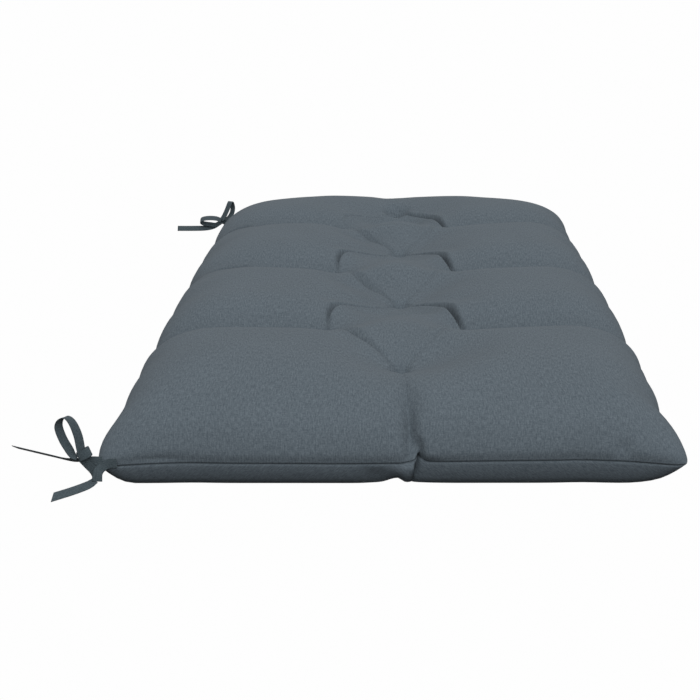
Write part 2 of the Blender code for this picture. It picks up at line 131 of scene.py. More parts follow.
DIAMOND_CREASES = {
    # the same columns, from a central tuft to a paired one: the pair beyond it, then the pair before it
    "left beyond": (0.0, 1.0, 0.30, 0.17, 0.18, 0.009, 1.5, 0.004),
    "right beyond": (0.0, 1.0, 0.28, 0.08, 0.12, 0.010, 1.5, 0.004),
    "left before": (0.0245, 1.36, 0.20, 0.23, 0.28, 0.005, 1.2, 0.004),
    "right before": (0.015, 0.76, 0.34, 0.40, 0.30, 0.006, 1.3, 0.004),
}
FAINT_FOLD = 0.35  # the fold left of the last central tuft is this share of the others
SAG_SHARPNESS = 1.7  # of the wide sag round a tuft, and of the pit at the tuft itself
PIT_SHARPNESS = 1.5
UNDER_REACH = 0.045  # how far from a tuft or crease the underside is drawn up
UNDER_SHARPNESS = 2.0
JOIN = 3.0  # how firmly two creases that meet keep the deeper one's depth
MOST_SINK = 0.90

# %% The unevenness of the filling, and the sides
SWELLS = (
    # x, y, radius, rise
    (-0.150, -0.380, 0.080, 0.0015),
    (0.150, -0.370, 0.080, -0.0010),
    (0.160, -0.120, 0.080, 0.0010),
    (-0.150, -0.130, 0.080, -0.0010),
    (-0.150, 0.120, 0.080, 0.0015),
    (0.140, 0.130, 0.080, -0.0010),
    (0.150, 0.400, 0.080, -0.0050),
    (-0.140, 0.400, 0.080, -0.0040),
    (0.000, -0.190, 0.042, -0.0190),
    (0.000, 0.060, 0.042, -0.0180),
    (0.000, 0.310, 0.042, -0.0290),
    (-0.035, -0.085, 0.026, -0.0110),
    (0.035, -0.085, 0.026, -0.0090),
    (-0.035, 0.165, 0.026, -0.0100),
    (0.035, 0.165, 0.026, -0.0080),
    (-0.050, -0.318, 0.018, -0.0050),
    (-0.046, -0.068, 0.020, -0.0065),
    (-0.044, 0.186, 0.020, -0.0095),
    (-0.200, 0.195, 0.030, -0.0075),
    (-0.206, -0.045, 0.018, -0.0045),
    (0.040, -0.365, 0.030, -0.0050),
    (-0.205, 0.450, 0.045, -0.0120),
    (0.205, 0.450, 0.045, -0.0080),
)
SIDES = {
    # bow of the side, then pinches: place along it, pull, half width
    "left": (
        0.0025,
        (
            (-0.480, -0.0045, 0.015),
            (-0.432, 0.0050, 0.032),
            (-0.360, 0.0040, 0.045),
            (-0.250, 0.0050, 0.026),
            (-0.130, 0.0020, 0.020),
            (0.000, 0.0050, 0.024),
            (0.115, 0.0025, 0.018),
            (0.250, 0.0050, 0.026),
            (0.410, 0.0040, 0.035),
        ),
    ),
    "right": (
        0.0055,
        (
            (-0.438, 0.0108, 0.028),
            (-0.370, 0.0045, 0.045),
            (-0.312, 0.0035, 0.018),
            (-0.222, 0.0035, 0.022),
            (-0.100, 0.0035, 0.018),
            (0.026, 0.0045, 0.022),
            (0.146, 0.0045, 0.018),
            (0.250, 0.0030, 0.060),
            (0.350, 0.0045, 0.022),
        ),
    ),
    "near": (0.0000, ((-0.170, 0.0010, 0.020), (0.160, 0.0015, 0.020))),
    "far": (0.0020, ((-0.008, 0.0070, 0.018), (0.130, 0.0030, 0.020), (-0.120, 0.0030, 0.020))),
}
BOW_SHAPE = 6  # a higher power keeps a bow more even along its side
CORNER_SHAPE = 20  # and this one lets the pinches fade only next to a corner
CORNER_PULL, CORNER_ROUND = 0.0018, 0.0060  # how far the right corners are rounded off, and how widely
SEAM_WAVES = (
    # x, y, radius, rise of the seam
    (-0.120, -0.500, 0.080, -0.0016),
    (-0.020, -0.500, 0.040, -0.0012),
    (0.140, -0.500, 0.060, 0.0010),
    (0.245, -0.500, 0.024, -0.0034),
    (-0.250, -0.500, 0.030, -0.0036),
    (0.000, 0.500, 0.025, 0.0035),
    (-0.250, -0.250, 0.030, 0.0015),
    (-0.250, 0.000, 0.030, 0.0015),
    (0.250, -0.250, 0.030, 0.0015),
    (0.250, 0.000, 0.030, 0.0015),
)
print("the crest may stand", round(1000 * (SEAM_HEIGHT + CROWN)), "mm high")

# %% [markdown]
# ## The shape of the filled cover
#
# A filled bag rises steeply from its seam and flattens towards the middle, so a superellipse is a better
# first guess than a plain arch. Every tuft and crease is then a share of that height to take away. Sharp at
# the bottom and round at the shoulders is what a taut thread does to soft filling, and adding the shares as a
# high power lets the deeper crease win where two of them meet, without a visible edge between them.

# %% The curves of cloth over filling
def shoulder(distance, reach, fall, rise):
    """(1 - (1 - distance / reach)^fall)^(1 / rise): 0 at the seam, 1 at reach and beyond."""
    left = 1.0 - np.clip(distance / reach, 0.0, 1.0)
    return (1.0 - left**fall) ** (1.0 / rise)


def hollow(distance, reach, sharpness):
    """(1 - distance / reach) to the power sharpness: 1 on a crease's line, 0 past its reach."""
    return (1.0 - np.clip(distance / reach, 0.0, 1.0)) ** sharpness


def bell(x, y, table):
    """Sum of round swells: rise times exp(-distance squared / (2 radius squared))."""
    total = np.zeros_like(x)
    for sx, sy, radius, rise in table:
        total += rise * np.exp(-((x - sx) ** 2 + (y - sy) ** 2) / (2.0 * radius**2))
    return total


# %% A crease that bows
def along_crease(x, y, crease):
    """Distance from a crease, and the share of its run.

    The crease leaves the straight line by bow (4 s (1 - s))^2, where s is the share to the power skew.
    """
    x0, y0, x1, y1, bow, skew = crease[:6]
    run_x, run_y = x1 - x0, y1 - y0
    length = np.hypot(run_x, run_y)
    along = ((x - x0) * run_x + (y - y0) * run_y) / length**2
    share = np.clip(along, 0.0, 1.0)
    skewed = share**skew
    aside = ((x - x0) * run_y - (y - y0) * run_x) / length - bow * (4.0 * skewed * (1.0 - skewed)) ** 2
    return np.hypot(aside, (along - share) * length), share


def diamond_creases():
    """A crease from each central tuft to each paired one half a band away; a bow above 0 is outwards."""
    creases = []
    for cx, cy, *_ in TUFTS[:4]:
        for px, py, *_ in TUFTS[4:]:
            if abs(abs(cy - py) - BAND / 2) < 1e-6:
                side = ("left " if px < 0 else "right ") + ("beyond" if py > cy else "before")
                bow, skew, *rest = DIAMOND_CREASES[side]
                if side == "left before" and cy == TUFTS[3][1]:
                    rest[:3] = [FAINT_FOLD * sink for sink in rest[:3]]
                creases.append((cx, cy, px, py, -math.copysign(bow, px), skew, *rest))
    return tuple(creases)


CREASES = OUTER_CREASES + diamond_creases()
print(len(TUFTS), "tufts,", len(CREASES), "creases")


# %% What the tufts take away
def sunk_share(x, y):
    """Share of the crown taken away: the cube root of the sum of every crease's and tuft's cubed share."""
    total = np.zeros_like(x)
    for crease in CREASES:
        distance, share = along_crease(x, y, crease)
        start, middle, end, reach, sharpness = crease[6:11]
        depth = start + share * (4 * middle - 3 * start - end) + share**2 * (2 * start + 2 * end - 4 * middle)
        total += (depth * hollow(distance, reach, sharpness)) ** JOIN
    for tx, ty, sag, sag_reach, pit, pit_reach, _ in TUFTS:
        distance = np.hypot(x - tx, y - ty)
        total += (sag * hollow(distance, sag_reach, SAG_SHARPNESS)) ** JOIN
        total += (pit * hollow(distance, pit_reach, PIT_SHARPNESS)) ** JOIN
    return np.minimum(total ** (1.0 / JOIN), MOST_SINK)


def under_lift(x, y):
    """How far the threads draw the underside up, added the same way as the shares of the top."""
    total = np.zeros_like(x)
    for crease in CREASES:
        distance, _ = along_crease(x, y, crease)
        total += (crease[11] * hollow(distance, UNDER_REACH, UNDER_SHARPNESS)) ** JOIN
    for tx, ty, *_, dimple in TUFTS:
        distance = np.hypot(x - tx, y - ty)
        total += (dimple * hollow(distance, UNDER_REACH, UNDER_SHARPNESS)) ** JOIN
    return total ** (1.0 / JOIN)


# %% The outline and the two panels
def drawn_in(place, half_length, side):
    """Pull of one side: its bow times (1 - share^6), plus a bell for each pinch, fading next to a corner."""
    share = place / half_length
    bow, pinches = SIDES[side]
    pull = bow * (1.0 - share**BOW_SHAPE)
    for pinch, depth, half_width in pinches:
        pull = pull + depth * np.exp(-(((place - pinch) / half_width) ** 2))
    return pull * (1.0 - share**CORNER_SHAPE)


def plan(u, v):
    """Place in plan of u across and v along, -1 to 1 between drawn-in sides, less a bell at right corners."""
    along, across = v * LENGTH / 2, u * WIDTH / 2
    side = np.where(u < 0, drawn_in(along, LENGTH / 2, "left"), drawn_in(along, LENGTH / 2, "right"))
    end = np.where(v < 0, drawn_in(across, WIDTH / 2, "near"), drawn_in(across, WIDTH / 2, "far"))
    corner = np.hypot((1.0 - np.abs(u)) * WIDTH / 2, (1.0 - np.abs(v)) * LENGTH / 2)
    blunt = np.where(u > 0, CORNER_PULL * np.exp(-((corner / CORNER_ROUND) ** 2)), 0.0)
    return u * (WIDTH / 2 - side) - blunt, v * (LENGTH / 2 - end - blunt)


def panels(u, v):
    """Top = seam + crown x (1 - taken away); underside = seam x (1 - belly) + the threads' lift x belly."""
    x, y = plan(u, v)
    from_side = (1.0 - np.abs(u)) * WIDTH / 2
    from_end = (1.0 - np.abs(v)) * LENGTH / 2
    seam = SEAM_HEIGHT + bell(x, y, SEAM_WAVES)
    crown = shoulder(from_side, SIDE_SHOULDER, *TOP_SHAPE) * shoulder(from_end, END_SHOULDER, *TOP_SHAPE)
    top = seam + (CROWN + bell(x, y, SWELLS)) * crown * (1.0 - sunk_share(x, y))
    belly = shoulder(from_side, SIDE_BELLY, *UNDER_SHAPE) * shoulder(from_end, END_BELLY, *UNDER_SHAPE)
    ear = np.where(u < 0, EARS["left"], EARS["right"])
    belly *= shoulder(np.hypot(from_side, from_end), ear, *UNDER_SHAPE)
    under = seam * (1.0 - belly) + under_lift(x, y) * belly
    return x, y, top, under


# %% [markdown]
# ## The lines of the mesh
#
# Even spacing in plan would leave the steep edge with hardly any points, so the lines follow the arc length
# of the cover's own curve. Cloth shows most where it is sewn or folded, so the lines also crowd towards the
# seams, over the tufts, and at the pleat in the near end: each of these adds a bell to the density.

# %% The lines of the mesh
ACROSS_LINES = 209
ALONG_LINES = 369
PLEAT_AT = 0.0197  # where the pleat crosses the near seam
SEAM_CROWD, SEAM_CROWD_REACH = 7.0, 0.0055
ACROSS_CROWDS = ((0.003, 0.085, 2.2), (PLEAT_AT, 0.009, 3.0))  # place, half width, how much denser
ALONG_CROWDS = ((-0.190, 0.070, 2.2), (0.060, 0.070, 2.2), (0.310, 0.070, 2.2))
RULE = np.linspace(-1.0, 1.0, 40001)


def crowded_lines(half, reach, count, crowds):
    """Shares from -1 to 1 at equal steps of arc length times a density: 1 plus a bell for each crowd."""
    rule = np.sin(RULE * math.pi / 2)
    height = CROWN * shoulder((1.0 - np.abs(rule)) * half, reach, *TOP_SHAPE)
    step = np.hypot(np.diff(rule * half), np.diff(height))
    middle = (rule[1:] + rule[:-1]) * half / 2
    arc = np.concatenate([[0.0], np.cumsum(step)])
    from_seam = np.minimum(arc[1:], arc[-1] - arc[:-1])
    density = 1.0 + SEAM_CROWD * np.exp(-((from_seam / SEAM_CROWD_REACH) ** 2))
    for place, half_width, more in crowds:
        density += more * np.exp(-(((middle - place) / half_width) ** 4))
    weighed = np.concatenate([[0.0], np.cumsum(step * density)])
    even = np.interp(np.linspace(0.0, weighed[-1], count), weighed, rule)
    return even, np.interp(even, rule, arc - arc[-1] / 2)


across, across_arc = crowded_lines(WIDTH / 2, SIDE_SHOULDER, ACROSS_LINES, ACROSS_CROWDS)
along, along_arc = crowded_lines(LENGTH / 2, END_SHOULDER, ALONG_LINES, ALONG_CROWDS)
u, v = np.meshgrid(across, along, indexing="ij")
x, y, top, under = panels(u, v)
print("grid", u.shape, "crest", round(top.max() * 1000, 1), "mm")

# %% [markdown]
# ## The pleat at the near end
#
# Where the near seam meets the valley of the first tuft the cloth has too much length, so it laps over: the
# left half ends in a round lobe and the right half comes out from behind it. Seen from the front, a fold of
# that kind is a step: the cloth stands proud up to a line, drops back behind it, and comes forward slowly.
# Under the lobe the cloth is caught up off the floor in a small notch.

# %% The pleat at the near end
PLEAT_FOOT = 0.0135  # where the pleat's line would reach the floor
STEP_BACK = 0.0065  # how far the cloth drops back behind the line
STEP_WIDTH = 0.0010
RETURN_WIDTH = 0.0110  # width over which the right half comes forward again
STEP_ABOVE = 0.0035  # how far over the seam the step is felt
CREVICE, CREVICE_WIDTH = 0.0045, 0.0013  # the groove where the lobe's edge lies on the right half
LOBE_PROUD = 0.0050  # how far the lobe stands out, and its size
LOBE_WIDTH, LOBE_DROP, LOBE_HEIGHT = 0.0150, 0.0070, 0.0055
RISE_RIGHT, RISE_AT, RISE_WIDTH = 0.0030, 0.0025, 0.0037  # the seam's hump beyond the line
RISE_LEFT, RISE_FADE = 0.0042, 0.0025  # and its climb to the line
FOLD_SIDE, FOLD_WIDTH = 0.0008, 0.0011  # painted shade along the line where the lobe's edge meets the right half
NOTCH_AT, NOTCH_LIFT, NOTCH_REACH = 0.0034, 0.0054, 0.0220
NOTCH_LEFT, NOTCH_RIGHT, NOTCH_EDGE = 0.0100, 0.0042, 0.004  # its half widths; the seam itself stays down
PLEAT_DEPTH, RISE_DEPTH, FOLD_DEPTH = 0.020, 0.008, 0.012  # how far in from the near end each is felt
FLOOR_FADE, UNDER_RISE_SHAPE = 0.010, 1.5  # the step and the rise die out towards the floor


def one_bell(offset, half_width):
    """exp(-(offset / half width) squared)."""
    return np.exp(-((offset / half_width) ** 2))


def behind_line(x, z):
    """Offset from the pleat's slanted line, and 0 before it and 1 behind it by a logistic curve."""
    offset = x - (PLEAT_FOOT + (PLEAT_AT - PLEAT_FOOT) * np.clip(z / SEAM_HEIGHT, 0.0, 1.2))
    return offset, 1.0 / (1.0 + np.exp(-np.clip(offset / (STEP_WIDTH / 4.0), -60.0, 60.0)))


def pleat(x, z, from_end, over_seam):
    """Pull inwards of the step and the lobe, and rise of the seam on both sides of the line."""
    offset, behind = behind_line(x, z)
    back = STEP_BACK * np.exp(-np.maximum(offset, 0.0) / RETURN_WIDTH) * behind
    back += CREVICE * one_bell(offset - CREVICE_WIDTH, CREVICE_WIDTH)
    back *= one_bell(np.maximum(over_seam, 0.0), STEP_ABOVE) * np.clip(z / FLOOR_FADE, 0.0, 1.0)
    lobe = one_bell(np.minimum(offset, 0.0), LOBE_WIDTH) * one_bell(over_seam + LOBE_DROP, LOBE_HEIGHT)
    near = one_bell(from_end, PLEAT_DEPTH)
    rise = RISE_RIGHT * one_bell(offset - RISE_AT, RISE_WIDTH) * behind
    rise += RISE_LEFT * np.exp(np.minimum(offset, 0.0) / RISE_FADE) * (1.0 - behind)
    return (back - LOBE_PROUD * lobe * (1.0 - behind)) * near, rise * one_bell(from_end, RISE_DEPTH)


# %% Dents in the near end
DENTS = (
    # x, height over the seam, pull inwards, half width, half height
    (0.0212, 0.0090, 0.0085, 0.0048, 0.0080),
    (0.0140, 0.0220, 0.0075, 0.0050, 0.0240),
    (-0.0150, -0.0130, 0.0045, 0.0110, 0.0070),
    (-0.2000, 0.0050, 0.0016, 0.0200, 0.0030),
    (0.1510, 0.0060, 0.0014, 0.0040, 0.0060),
    (0.1945, 0.0110, 0.0046, 0.0042, 0.0062),
    (0.2080, 0.0140, -0.0010, 0.0070, 0.0080),
)
DENT_DEPTH = 0.035


def dent_pull(x, over_seam, from_end):
    """Sum of the dents' pulls, each a bell across times a bell in height, felt near the end alone."""
    total = np.zeros_like(x)
    for place, height, pull, half_width, half_height in DENTS:
        total += pull * one_bell(x - place, half_width) * one_bell(over_seam - height, half_height)
    return total * one_bell(from_end, DENT_DEPTH)


from_near = (1.0 + v) * LENGTH / 2
seam = SEAM_HEIGHT + bell(x, y, SEAM_WAVES)
pull_top, rise_top = pleat(x, top, from_near, top - seam)
pull_under, rise_under = pleat(x, under, from_near, under - seam)
y_top = y + pull_top + dent_pull(x, top - seam, from_near)
y_under = y + pull_under + dent_pull(x, under - seam, from_near)
notch = NOTCH_LIFT * one_bell(from_near, NOTCH_REACH)
notch *= one_bell(x - NOTCH_AT, np.where(x < NOTCH_AT, NOTCH_LEFT, NOTCH_RIGHT))
rise_under *= np.clip(under / SEAM_HEIGHT, 0.0, 1.0) ** UNDER_RISE_SHAPE
offset_under, _ = behind_line(x, under)
# painted shade along the pleat's fold line
fold_shade_line = one_bell(offset_under - FOLD_SIDE, FOLD_WIDTH) * one_bell(from_near, FOLD_DEPTH)
top = top + rise_top
under = under + rise_under + notch * (1.0 - one_bell(from_near, NOTCH_EDGE))
print("pleat from", round(pull_top.min() * 1000, 1), "to", round(pull_top.max() * 1000, 1), "mm")

# %% [markdown]
# ## The seam
#
# The two panels are stitched on the inside and turned out, so the seam shows as a thin dark line with a soft
# roll of cloth above and below it. Pulling the seam's own line inwards by a millimetre and letting that fade
# within half as much makes a line with real depth, and painted shade darkens it further.

# %% The seam
SEAM_DEPTH = 0.0012
SEAM_ROLL = 0.0006  # how far the groove is felt on either side
BULGE, BULGE_OVER, BULGE_SPREAD = 0.0014, 0.0090, 0.0060  # how the short ends roll out over the seam
ROLL_DEPTH, ROLL_CORNER = 0.012, 0.020  # how far in that is felt, and how slowly it starts from a corner


def seam_groove(x, y, u, v, over_seam):
    """Moves points near the seam inwards, by the depth times a bell of their distance, and the roll out."""
    from_side, from_end = (1.0 - np.abs(u)) * WIDTH / 2, (1.0 - np.abs(v)) * LENGTH / 2
    side = one_bell(np.hypot(over_seam, from_side), SEAM_ROLL)
    end = one_bell(np.hypot(over_seam, from_end), SEAM_ROLL)
    roll = one_bell(over_seam - BULGE_OVER, BULGE_SPREAD) * one_bell(from_end, ROLL_DEPTH)
    roll *= np.clip(from_side / ROLL_CORNER, 0.0, 1.0)
    out = BULGE * roll - SEAM_DEPTH * end
    return x - np.sign(u) * SEAM_DEPTH * side, y + np.sign(v) * out, np.maximum(side, end)


# the third value, each point's share of the seam's line, becomes painted shade in the seam
x_top, y_top, seam_shade_top = seam_groove(x, y_top, u, v, top - seam - rise_top)
x_under, y_under, seam_shade_under = seam_groove(x, y_under, u, v, under - seam - rise_under)
print("seam line", round(seam_shade_top.max(), 2))

# %% [markdown]
# ## The filling presses the cover out
#
# So far the surface is only a formula. Real cloth finds its own shape between the threads that hold it, so a
# cloth simulation has the last word: a coarse copy of the cover is held at the seam, the tufts, the creases
# and all its underside, and the filling is an even pressure from inside. It swells, so it starts a little
# smaller than the finished cover. Twenty frames are enough, and no point may move further than 4 mm.

# %% What holds the cloth
SWELL_STEP = 4  # the trial mesh takes every fourth line
SWELL_ROOM = 0.0020  # how much smaller the cover starts
SWELL_CAP = 0.0040  # and how far a point may move
SWELL_PASSES = 3  # how often the trial's moves are averaged with their neighbours'
SEAM_HOLD, CREASE_HOLD, TUFT_HOLD = 0.016, 0.011, 0.018  # how far round each the cloth is held
PLEAT_HOLD, PLEAT_HOLD_LENGTH = 0.040, 0.090


def held_share(x, y, u, v):
    """1 where the cloth is held: the highest of the bells round the seam, creases, tufts and pleat."""
    from_edge = np.minimum((1.0 - np.abs(u)) * WIDTH / 2, (1.0 - np.abs(v)) * LENGTH / 2)
    total = one_bell(from_edge, SEAM_HOLD)
    for crease in CREASES:
        distance, _ = along_crease(x, y, crease)
        total = np.maximum(total, one_bell(distance, CREASE_HOLD))
    for tx, ty, *_ in TUFTS:
        total = np.maximum(total, one_bell(np.hypot(x - tx, y - ty), TUFT_HOLD))
    pleat_bell = one_bell(x - PLEAT_AT, PLEAT_HOLD) * one_bell((1.0 + v) * LENGTH / 2, PLEAT_HOLD_LENGTH)
    return np.maximum(total, pleat_bell)


held = held_share(x, y, u, v)
free = 1.0 - held
print("free share of the top:", round(float((held < 0.5).mean()), 2))


# %% The trial in cloth
PRESSURE = 4.0
FRAMES = 20


def top_faces(index):
    """The quads of the top's grid of point numbers, fronts up."""
    a, b, c, d = index[:-1, :-1], index[1:, :-1], index[1:, 1:], index[:-1, 1:]
    return np.stack([a, b, c, d], axis=-1).reshape(-1, 4).tolist()


def trial_mesh(start, below, step):
    """A closed mesh of every few lines, both panels joined at the rim: points, faces, the top's numbers."""
    top_points, under_points = start[::step, ::step], below[::step, ::step]
    rows, columns = top_points.shape[:2]
    number = np.arange(rows * columns).reshape(rows, columns)
    inner = np.zeros((rows, columns), dtype=bool)
    inner[1:-1, 1:-1] = True
    lower = number.copy()
    lower[inner] = rows * columns + np.arange(inner.sum())
    trial_points = np.concatenate([top_points.reshape(-1, 3), under_points[inner]])
    down = np.stack([lower[:-1, :-1], lower[:-1, 1:], lower[1:, 1:], lower[1:, :-1]], -1).reshape(-1, 4)
    return trial_points, top_faces(number) + down.tolist(), number


def swell(start, below, held):
    """Moves of the trial's top under pressure with gravity off, smoothed, and scaled down to the cap."""
    trial_points, faces, number = trial_mesh(start, below, SWELL_STEP)
    mesh = bpy.data.meshes.new("cover_trial")
    mesh.from_pydata(trial_points.tolist(), [], faces)
    trial = bpy.data.objects.new("cover_trial", mesh)
    bpy.context.scene.collection.objects.link(trial)
    group = trial.vertex_groups.new(name="held")
    fixed = np.ones(len(trial_points), dtype=bool)
    fixed[number.reshape(-1)] = held[::SWELL_STEP, ::SWELL_STEP].reshape(-1) > 0.5
    group.add(np.flatnonzero(fixed).tolist(), 1.0, "REPLACE")
    cloth = trial.modifiers.new("cloth", "CLOTH")
    cloth.settings.vertex_group_mass = "held"
    cloth.settings.use_pressure = True
    cloth.settings.uniform_pressure_force = PRESSURE
    cloth.settings.effector_weights.gravity = 0.0
    cloth.settings.shrink_min = -0.01
    cloth.settings.bending_stiffness = 0.8
    cloth.settings.air_damping = 5.0
    cloth.collision_settings.use_collision = False
    cloth.point_cache.frame_start, cloth.point_cache.frame_end = 1, FRAMES
    for frame_number in range(1, FRAMES + 1):
        bpy.context.scene.frame_set(frame_number)
    ended = trial.evaluated_get(bpy.context.evaluated_depsgraph_get()).to_mesh()
    found = np.empty(len(ended.vertices) * 3, dtype=np.float32)
    ended.vertices.foreach_get("co", found)
    moved = found.reshape(-1, 3)[number] - trial_points[number]
    for _ in range(SWELL_PASSES):
        moved[1:-1] = (moved[:-2] + 2.0 * moved[1:-1] + moved[2:]) / 4.0
        moved[:, 1:-1] = (moved[:, :-2] + 2.0 * moved[:, 1:-1] + moved[:, 2:]) / 4.0
    bpy.context.scene.frame_set(1)
    bpy.data.objects.remove(trial, do_unlink=True)
    bpy.data.meshes.remove(mesh)
    return moved * (SWELL_CAP / np.maximum(np.linalg.norm(moved, axis=-1, keepdims=True), SWELL_CAP))


# %% The swelling, carried to the fine mesh
def line_weights(count, step):
    """For each fine line its share of every coarse one: the four cubic weights of a Catmull-Rom curve."""
    lines = np.arange(count)
    coarse_count = (count - 1) // step + 1
    first = np.minimum(lines // step, coarse_count - 2)
    t = lines / step - first
    shares = (
        (-(t**3) + 2 * t**2 - t) / 2,
        (3 * t**3 - 5 * t**2 + 2) / 2,
        (-3 * t**3 + 4 * t**2 + t) / 2,
        (t**3 - t**2) / 2,
    )
    weights = np.zeros((count, coarse_count))
    for offset, share in zip((-1, 0, 1, 2), shares):
        np.add.at(weights, (lines, np.clip(first + offset, 0, coarse_count - 1)), share)
    return weights


start = np.stack([x_top, y_top, top - SWELL_ROOM * free], -1)
moved = swell(start, np.stack([x_under, y_under, under], -1), held)
weights_u, weights_v = line_weights(u.shape[0], SWELL_STEP), line_weights(u.shape[1], SWELL_STEP)
carried = np.einsum("ia,abk,jb->ijk", weights_u, moved, weights_v) * free[..., None]
x_top, y_top, top = (start[..., n] + carried[..., n] for n in range(3))
pillow = 1000 * carried[free > 0.9]
print("swelling in mm, mean and spread:", pillow.mean(0).round(2), pillow.std(0).round(2))

# %% [markdown]
# ## One closed mesh
#
# The underside is nearly flat and hardly seen, so it keeps every second line only. Along the rim both panels
# share the points of the top, and there each coarse face takes the point between its corners in as well, so
# the mesh is closed without a single gap.

# %% One closed mesh
def underside_faces(coarse, fine):
    """The coarse grid's faces, fronts down, with the fine grid's in-between points at the rim; -1 is none."""
    n, m = coarse.shape[0] - 1, coarse.shape[1] - 1
    slots = np.full((n, m, 8), -1)
    slots[..., 0], slots[..., 2] = coarse[:-1, :-1], coarse[:-1, 1:]
    slots[..., 4], slots[..., 6] = coarse[1:, 1:], coarse[1:, :-1]
    slots[0, :, 1], slots[-1, :, 5] = fine[0, 1::2], fine[-1, 1::2]
    slots[:, -1, 3], slots[:, 0, 7] = fine[1::2, -1], fine[1::2, 0]
    return [[number for number in face if number >= 0] for face in slots.reshape(-1, 8).tolist()]


def new_piece(name, points, faces, point_uv):
    """A smooth mesh object from points and faces, at the origin, whose UV map is given for each point."""
    mesh = bpy.data.meshes.new(name)
    mesh.from_pydata(points.tolist(), [], faces)
    corners = np.empty(len(mesh.loops), dtype=np.int32)
    mesh.loops.foreach_get("vertex_index", corners)
    layer = mesh.uv_layers.new(name="cloth")
    layer.uv.foreach_set("vector", point_uv[corners].astype(np.float32).reshape(-1))
    mesh.shade_smooth()
    piece = bpy.data.objects.new(name, mesh)
    bpy.context.scene.collection.objects.link(piece)
    return piece


fine = np.arange(u.size).reshape(u.shape)
coarse = fine[::2, ::2].copy()
hidden = np.zeros(coarse.shape, dtype=bool)
hidden[1:-1, 1:-1] = True
coarse[hidden] = u.size + np.arange(hidden.sum())
thin = (slice(None, None, 2), slice(None, None, 2))
points = np.concatenate(
    [
        np.stack([x_top, y_top, top], -1).reshape(-1, 3),
        np.stack([x_under[thin][hidden], y_under[thin][hidden], under[thin][hidden]], -1),
    ]
)
print("points:", len(points), "of which underneath", hidden.sum())

# %% [markdown]
# ## Cloth coordinates
#
# A weave runs straight through a tufted cover as if the tufts weren't there, because the panel is woven flat.
# So its coordinates are the arc lengths of the untufted curve, and under the seam they run back again.

# %% Cloth coordinates
s_top, t_top = np.meshgrid(across_arc, along_arc, indexing="ij")
below_seam = np.clip(SEAM_HEIGHT - under, 0.0, 1.0)
s_under = np.sign(u) * (across_arc[-1] - (1.0 - np.abs(u)) * WIDTH / 2 - below_seam)
t_under = np.sign(v) * (along_arc[-1] - (1.0 - np.abs(v)) * LENGTH / 2 - below_seam)
point_uv = np.concatenate(
    [
        np.stack([s_top, t_top], -1).reshape(-1, 2),
        np.stack([s_under[thin][hidden], t_under[thin][hidden]], -1),
    ]
)
cover = new_piece("cushion_cover", points, top_faces(fine) + underside_faces(coarse, fine), point_uv)
cover.data.calc_loop_triangles()
print("cover:", len(cover.data.loop_triangles), "triangles")

# %% [markdown]
# ## Painted shade in seams, folds and valleys
#
# Cloth in a seam, a fold or a valley is drawn darker than its shape alone makes it: this is painted shade.
# An attribute on the mesh carries that share to the material, strong in the seam and the narrow folds, and
# faint and wide in the valleys.

# %% Painted shade in seams, folds and valleys
FOLD_REACH, FOLD_SHARE = 0.0035, 0.55  # how wide the painted shade is at a fold, and how strong
FOLD_FULL = 0.42  # the sink at which a fold has its full share
VALLEY_REACH, VALLEY_SHARE, VALLEY_FADE = 0.045, 0.30, 2.0  # the same in the valleys, and the fade's power
CRIMP_REACH, CRIMP_SHARE = 0.012, 0.60  # and in the short narrow creases at their ends


def painted_crease_shade(x, y):
    """Painted shade: the strongest of (1 - distance / reach) to a power, times the crease's own share."""
    total = np.zeros_like(x)
    for crease in CREASES[len(OUTER_CREASES) :]:
        distance, _ = along_crease(x, y, crease)
        total = np.maximum(total, FOLD_SHARE * hollow(distance, FOLD_REACH, 1.0) * crease[7] / FOLD_FULL)
    for creases, reach, most, fade in (
        (VALLEYS, VALLEY_REACH, VALLEY_SHARE, VALLEY_FADE),
        (CRIMPS, CRIMP_REACH, CRIMP_SHARE, 1.0),
    ):
        for crease in creases:
            distance, _ = along_crease(x, y, crease)
            total = np.maximum(total, most * hollow(distance, reach, fade))
    return total


# painted shade in the seam, the pleat's fold, the narrow folds and the valleys
painted_shade_top = np.maximum(seam_shade_top, painted_crease_shade(x, y))
painted_shade_under = np.maximum(seam_shade_under, fold_shade_line)
painted_shade = np.concatenate([painted_shade_top.reshape(-1), painted_shade_under[thin][hidden]])
attribute = cover.data.attributes.new("painted_shade", "FLOAT", "POINT")
attribute.data.foreach_set("value", painted_shade.astype(np.float32))
print("pressed share of the top:", round(float((painted_shade_top > 0.1).mean()), 2))

# %% [markdown]
# ## Nodes for cloth
#
# Three small helpers are enough for every material here: hex colours turned to linear light, a node with its
# settings and links, and a noise that is stretched along one thread direction.

# %% Nodes for cloth
def to_linear(code):
    """Linear colour of an sRGB hex code: ((c + 0.055) / 1.055)^2.4 in each channel, c / 12.92 near black."""
    channels = [int(code[n : n + 2], 16) / 255.0 for n in (0, 2, 4)]
    return tuple(c / 12.92 if c <= 0.04045 else ((c + 0.055) / 1.055) ** 2.4 for c in channels) + (1.0,)


def add_node(tree, kind, settings=None, **inputs):
    """A node with its settings, whose inputs take a value or another node's output."""
    node = tree.nodes.new(kind)
    for name, value in (settings or {}).items():
        setattr(node, name, value)
    for name, value in inputs.items():
        socket = node.inputs[int(name[1:])] if name[0] == "n" and name[1:].isdigit() else node.inputs[name]
        if isinstance(value, bpy.types.NodeSocket):
            tree.links.new(value, socket)
        else:
            socket.default_value = value
    return node


def thread_noise(tree, cloth, across, along, detail=1.0):
    """Noise whose cells measure across x along on the cloth, in metres."""
    scale = add_node(tree, "ShaderNodeMapping", n0=cloth, n3=(1.0 / across, 1.0 / along, 1.0))
    noise = add_node(tree, "ShaderNodeTexNoise", n0=scale.outputs[0], Scale=1.0, Detail=detail, Roughness=0.6)
    return noise.outputs[0]


